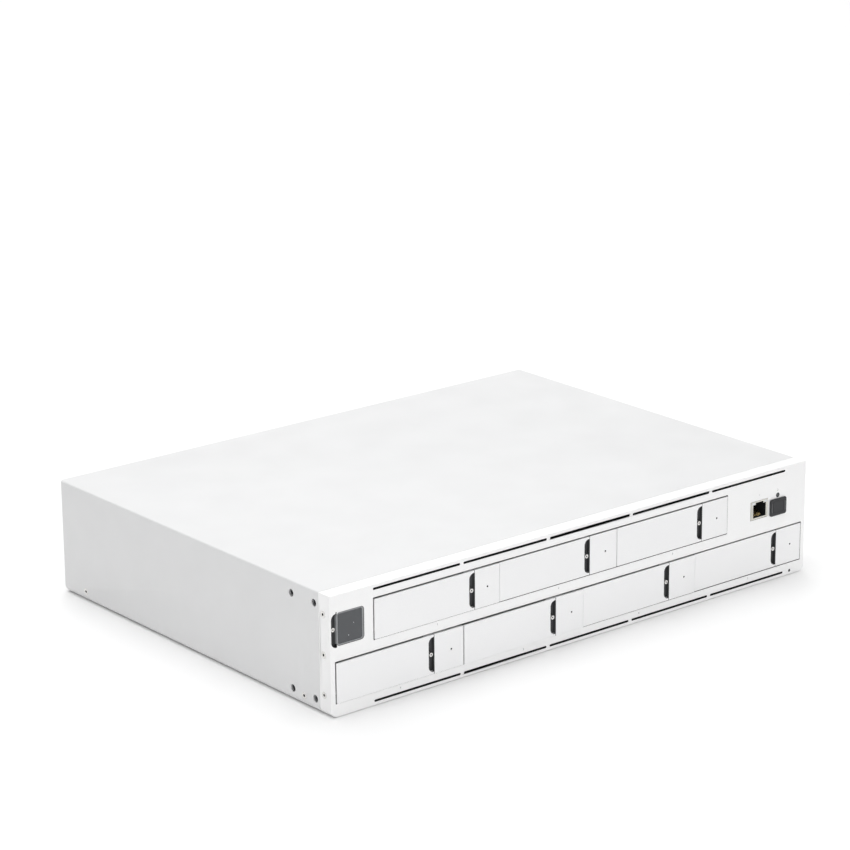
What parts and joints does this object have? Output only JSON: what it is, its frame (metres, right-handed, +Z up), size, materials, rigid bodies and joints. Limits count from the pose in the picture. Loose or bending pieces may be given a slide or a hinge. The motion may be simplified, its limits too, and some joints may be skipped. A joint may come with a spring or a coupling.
{
  "type": "nas enclosure",
  "caption": "Short-depth rack storage enclosure with hot-swap drive trays on swinging levers, exhaust fans and a slide-in power supply.",
  "frame": {"origin": "middle of the casing's underside", "axes": "+X to the right seen from the front, +Y to the rear, +Z up"},
  "size_m": [0.4424, 0.3269, 0.0852],
  "materials": {
    "cover_white": "matte powder coat",
    "bezel_aluminium": "satin anodised",
    "chassis_steel": "zinc plated",
    "screw_steel": "bright",
    "dark_plastic": "fine texture",
    "board_green": "solder mask",
    "component_black": "moulded",
    "sink_aluminium": "extruded",
    "screen_glass": "smoked",
    "frame_grey": "satin",
    "jack_shell": "ivory",
    "pipe_clear": "clear"
  },
  "bodies": {
    "chassis": {"outer_cover": "cover_white", "front_bezel": "bezel_aluminium", "base_pan": "chassis_steel", "rear_panel": "cover_white", "drive_cage": "chassis_steel", "backplane_board": "board_green", "drive_connectors": "component_black", "main_board": "board_green", "heat_sink": "sink_aluminium", "board_components": "component_black", "board_standoffs": "screw_steel", "port_board": "board_green", "network_jack": "jack_shell", "sfp_cage": "chassis_steel", "light_pipes": "pipe_clear", "display_housing": "frame_grey", "display_screen": "screen_glass", "display_slot_insert": "dark_plastic", "display_screw": "screw_steel", "fan_frames": "component_black", "bezel_screws": "screw_steel", "case_screws": "screw_steel", "rack_ear_nuts": "chassis_steel"},
    "tray_1": {"tray_1": "bezel_aluminium"},
    "tray_1_lever": {"tray_1_lever": "bezel_aluminium"},
    "tray_1_latch": {"tray_1_latch": "dark_plastic"},
    "tray_1_lock": {"tray_1_lock": "screw_steel"},
    "tray_2": {"tray_2": "bezel_aluminium"},
    "tray_2_lever": {"tray_2_lever": "bezel_aluminium"},
    "tray_2_latch": {"tray_2_latch": "dark_plastic"},
    "tray_2_lock": {"tray_2_lock": "screw_steel"},
    "tray_3": {"tray_3": "bezel_aluminium"},
    "tray_3_lever": {"tray_3_lever": "bezel_aluminium"},
    "tray_3_latch": {"tray_3_latch": "dark_plastic"},
    "tray_3_lock": {"tray_3_lock": "screw_steel"},
    "tray_4": {"tray_4": "bezel_aluminium"},
    "tray_4_lever": {"tray_4_lever": "bezel_aluminium"},
    "tray_4_latch": {"tray_4_latch": "dark_plastic"},
    "tray_4_lock": {"tray_4_lock": "screw_steel"},
    "tray_5": {"tray_5": "bezel_aluminium"},
    "tray_5_lever": {"tray_5_lever": "bezel_aluminium"},
    "tray_5_latch": {"tray_5_latch": "dark_plastic"},
    "tray_5_lock": {"tray_5_lock": "screw_steel"},
    "tray_6": {"tray_6": "bezel_aluminium"},
    "tray_6_lever": {"tray_6_lever": "bezel_aluminium"},
    "tray_6_latch": {"tray_6_latch": "dark_plastic"},
    "tray_6_lock": {"tray_6_lock": "screw_steel"},
    "tray_7": {"tray_7": "bezel_aluminium"},
    "tray_7_lever": {"tray_7_lever": "bezel_aluminium"},
    "tray_7_latch": {"tray_7_latch": "dark_plastic"},
    "tray_7_lock": {"tray_7_lock": "screw_steel"},
    "sfp_plug": {"sfp_plug": "dark_plastic"},
    "reset_button": {"reset_button": "dark_plastic"},
    "fan_rotor_1": {"fan_rotor_1": "component_black"},
    "fan_rotor_2": {"fan_rotor_2": "component_black"},
    "fan_rotor_3": {"fan_rotor_3": "component_black"},
    "power_supply": {"power_supply": "chassis_steel", "mains_inlet": "component_black"},
    "power_supply_latch": {"power_supply_latch": "dark_plastic"},
    "power_supply_handle": {"power_supply_handle": "screw_steel"}
  },
  "joints": [
    {"name": "tray_1_slide", "type": "slide", "parent": "chassis", "child": "tray_1", "axis": [0, -1, 0], "range_m": [0, 0.15]},
    {"name": "tray_1_lever_swing", "type": "hinge", "parent": "tray_1", "child": "tray_1_lever", "pos_m": [-0.1727, -0.1591, 0.061], "axis": [0, 0, -1], "range_deg": [0, 55]},
    {"name": "tray_1_latch_slide", "type": "slide", "parent": "tray_1", "child": "tray_1_latch", "axis": [1, 0, 0], "range_m": [0, 0.002], "stiffness_N_per_m": 300, "springref_m": -0.002},
    {"name": "tray_1_lock_turn", "type": "hinge", "parent": "tray_1", "child": "tray_1_lock", "pos_m": [-0.1012, -0.1577, 0.061], "axis": [0, -1, 0], "range_deg": [0, 90]},
    {"name": "tray_2_slide", "type": "slide", "parent": "chassis", "child": "tray_2", "axis": [0, -1, 0], "range_m": [0, 0.15]},
    {"name": "tray_2_lever_swing", "type": "hinge", "parent": "tray_2", "child": "tray_2_lever", "pos_m": [-0.064, -0.1585, 0.061], "axis": [0, 0, -1], "range_deg": [0, 55]},
    {"name": "tray_2_latch_slide", "type": "slide", "parent": "tray_2", "child": "tray_2_latch", "axis": [1, 0, 0], "range_m": [0, 0.002], "stiffness_N_per_m": 300, "springref_m": -0.002},
    {"name": "tray_2_lock_turn", "type": "hinge", "parent": "tray_2", "child": "tray_2_lock", "pos_m": [0.0039, -0.1571, 0.061], "axis": [0, -1, 0], "range_deg": [0, 90]},
    {"name": "tray_3_slide", "type": "slide", "parent": "chassis", "child": "tray_3", "axis": [0, -1, 0], "range_m": [0, 0.15]},
    {"name": "tray_3_lever_swing", "type": "hinge", "parent": "tray_3", "child": "tray_3_lever", "pos_m": [0.0447, -0.1584, 0.061], "axis": [0, 0, -1], "range_deg": [0, 55]},
    {"name": "tray_3_latch_slide", "type": "slide", "parent": "tray_3", "child": "tray_3_latch", "axis": [1, 0, 0], "range_m": [0, 0.002], "stiffness_N_per_m": 300, "springref_m": -0.002},
    {"name": "tray_3_lock_turn", "type": "hinge", "parent": "tray_3", "child": "tray_3_lock", "pos_m": [0.1126, -0.157, 0.061], "axis": [0, -1, 0], "range_deg": [0, 90]},
    {"name": "tray_4_slide", "type": "slide", "parent": "chassis", "child": "tray_4", "axis": [0, -1, 0], "range_m": [0, 0.15]},
    {"name": "tray_4_lever_swing", "type": "hinge", "parent": "tray_4", "child": "tray_4_lever", "pos_m": [-0.205, -0.1593, 0.0239], "axis": [0, 0, -1], "range_deg": [0, 55]},
    {"name": "tray_4_latch_slide", "type": "slide", "parent": "tray_4", "child": "tray_4_latch", "axis": [1, 0, 0], "range_m": [0, 0.002], "stiffness_N_per_m": 300, "springref_m": -0.002},
    {"name": "tray_4_lock_turn", "type": "hinge", "parent": "tray_4", "child": "tray_4_lock", "pos_m": [-0.1371, -0.1579, 0.0239], "axis": [0, -1, 0], "range_deg": [0, 90]},
    {"name": "tray_5_slide", "type": "slide", "parent": "chassis", "child": "tray_5", "axis": [0, -1, 0], "range_m": [0, 0.15]},
    {"name": "tray_5_lever_swing", "type": "hinge", "parent": "tray_5", "child": "tray_5_lever", "pos_m": [-0.0963, -0.1596, 0.0239], "axis": [0, 0, -1], "range_deg": [0, 55]},
    {"name": "tray_5_latch_slide", "type": "slide", "parent": "tray_5", "child": "tray_5_latch", "axis": [1, 0, 0], "range_m": [0, 0.002], "stiffness_N_per_m": 300, "springref_m": -0.002},
    {"name": "tray_5_lock_turn", "type": "hinge", "parent": "tray_5", "child": "tray_5_lock", "pos_m": [-0.0284, -0.1582, 0.0239], "axis": [0, -1, 0], "range_deg": [0, 90]},
    {"name": "tray_6_slide", "type": "slide", "parent": "chassis", "child": "tray_6", "axis": [0, -1, 0], "range_m": [0, 0.15]},
    {"name": "tray_6_lever_swing", "type": "hinge", "parent": "tray_6", "child": "tray_6_lever", "pos_m": [0.0124, -0.1589, 0.0239], "axis": [0, 0, -1], "range_deg": [0, 55]},
    {"name": "tray_6_latch_slide", "type": "slide", "parent": "tray_6", "child": "tray_6_latch", "axis": [1, 0, 0], "range_m": [0, 0.002], "stiffness_N_per_m": 300, "springref_m": -0.002},
    {"name": "tray_6_lock_turn", "type": "hinge", "parent": "tray_6", "child": "tray_6_lock", "pos_m": [0.0803, -0.1575, 0.0239], "axis": [0, -1, 0], "range_deg": [0, 90]},
    {"name": "tray_7_slide", "type": "slide", "parent": "chassis", "child": "tray_7", "axis": [0, -1, 0], "range_m": [0, 0.15]},
    {"name": "tray_7_lever_swing", "type": "hinge", "parent": "tray_7", "child": "tray_7_lever", "pos_m": [0.1211, -0.1582, 0.0239], "axis": [0, 0, -1], "range_deg": [0, 55]},
    {"name": "tray_7_latch_slide", "type": "slide", "parent": "tray_7", "child": "tray_7_latch", "axis": [1, 0, 0], "range_m": [0, 0.002], "stiffness_N_per_m": 300, "springref_m": -0.002},
    {"name": "tray_7_lock_turn", "type": "hinge", "parent": "tray_7", "child": "tray_7_lock", "pos_m": [0.189, -0.1568, 0.0239], "axis": [0, -1, 0], "range_deg": [0, 90]},
    {"name": "sfp_plug_pull", "type": "slide", "parent": "chassis", "child": "sfp_plug", "axis": [0, -1, 0], "range_m": [0, 0.022]},
    {"name": "reset_press", "type": "slide", "parent": "chassis", "child": "reset_button", "axis": [0, 1, 0], "range_m": [0, 0.0008], "stiffness_N_per_m": 400, "springref_m": -0.002},
    {"name": "fan_1_spin", "type": "hinge", "parent": "chassis", "child": "fan_rotor_1", "pos_m": [-0.1752, 0.146, 0.0426], "axis": [0, 1, 0], "continuous": true},
    {"name": "fan_2_spin", "type": "hinge", "parent": "chassis", "child": "fan_rotor_2", "pos_m": [-0.1052, 0.146, 0.0426], "axis": [0, 1, 0], "continuous": true},
    {"name": "fan_3_spin", "type": "hinge", "parent": "chassis", "child": "fan_rotor_3", "pos_m": [-0.0352, 0.146, 0.0426], "axis": [0, 1, 0], "continuous": true},
    {"name": "power_supply_slide", "type": "slide", "parent": "chassis", "child": "power_supply", "axis": [0, 1, 0], "range_m": [0, 0.13]},
    {"name": "power_supply_latch_press", "type": "slide", "parent": "power_supply", "child": "power_supply_latch", "axis": [0, 0, 1], "range_m": [0, 0.003], "stiffness_N_per_m": 400, "springref_m": -0.004},
    {"name": "power_supply_handle_swing", "type": "hinge", "parent": "power_supply", "child": "power_supply_handle", "pos_m": [0.183, 0.1627, 0.012], "axis": [-1, 0, 0], "range_deg": [0, 90]}
  ]
}
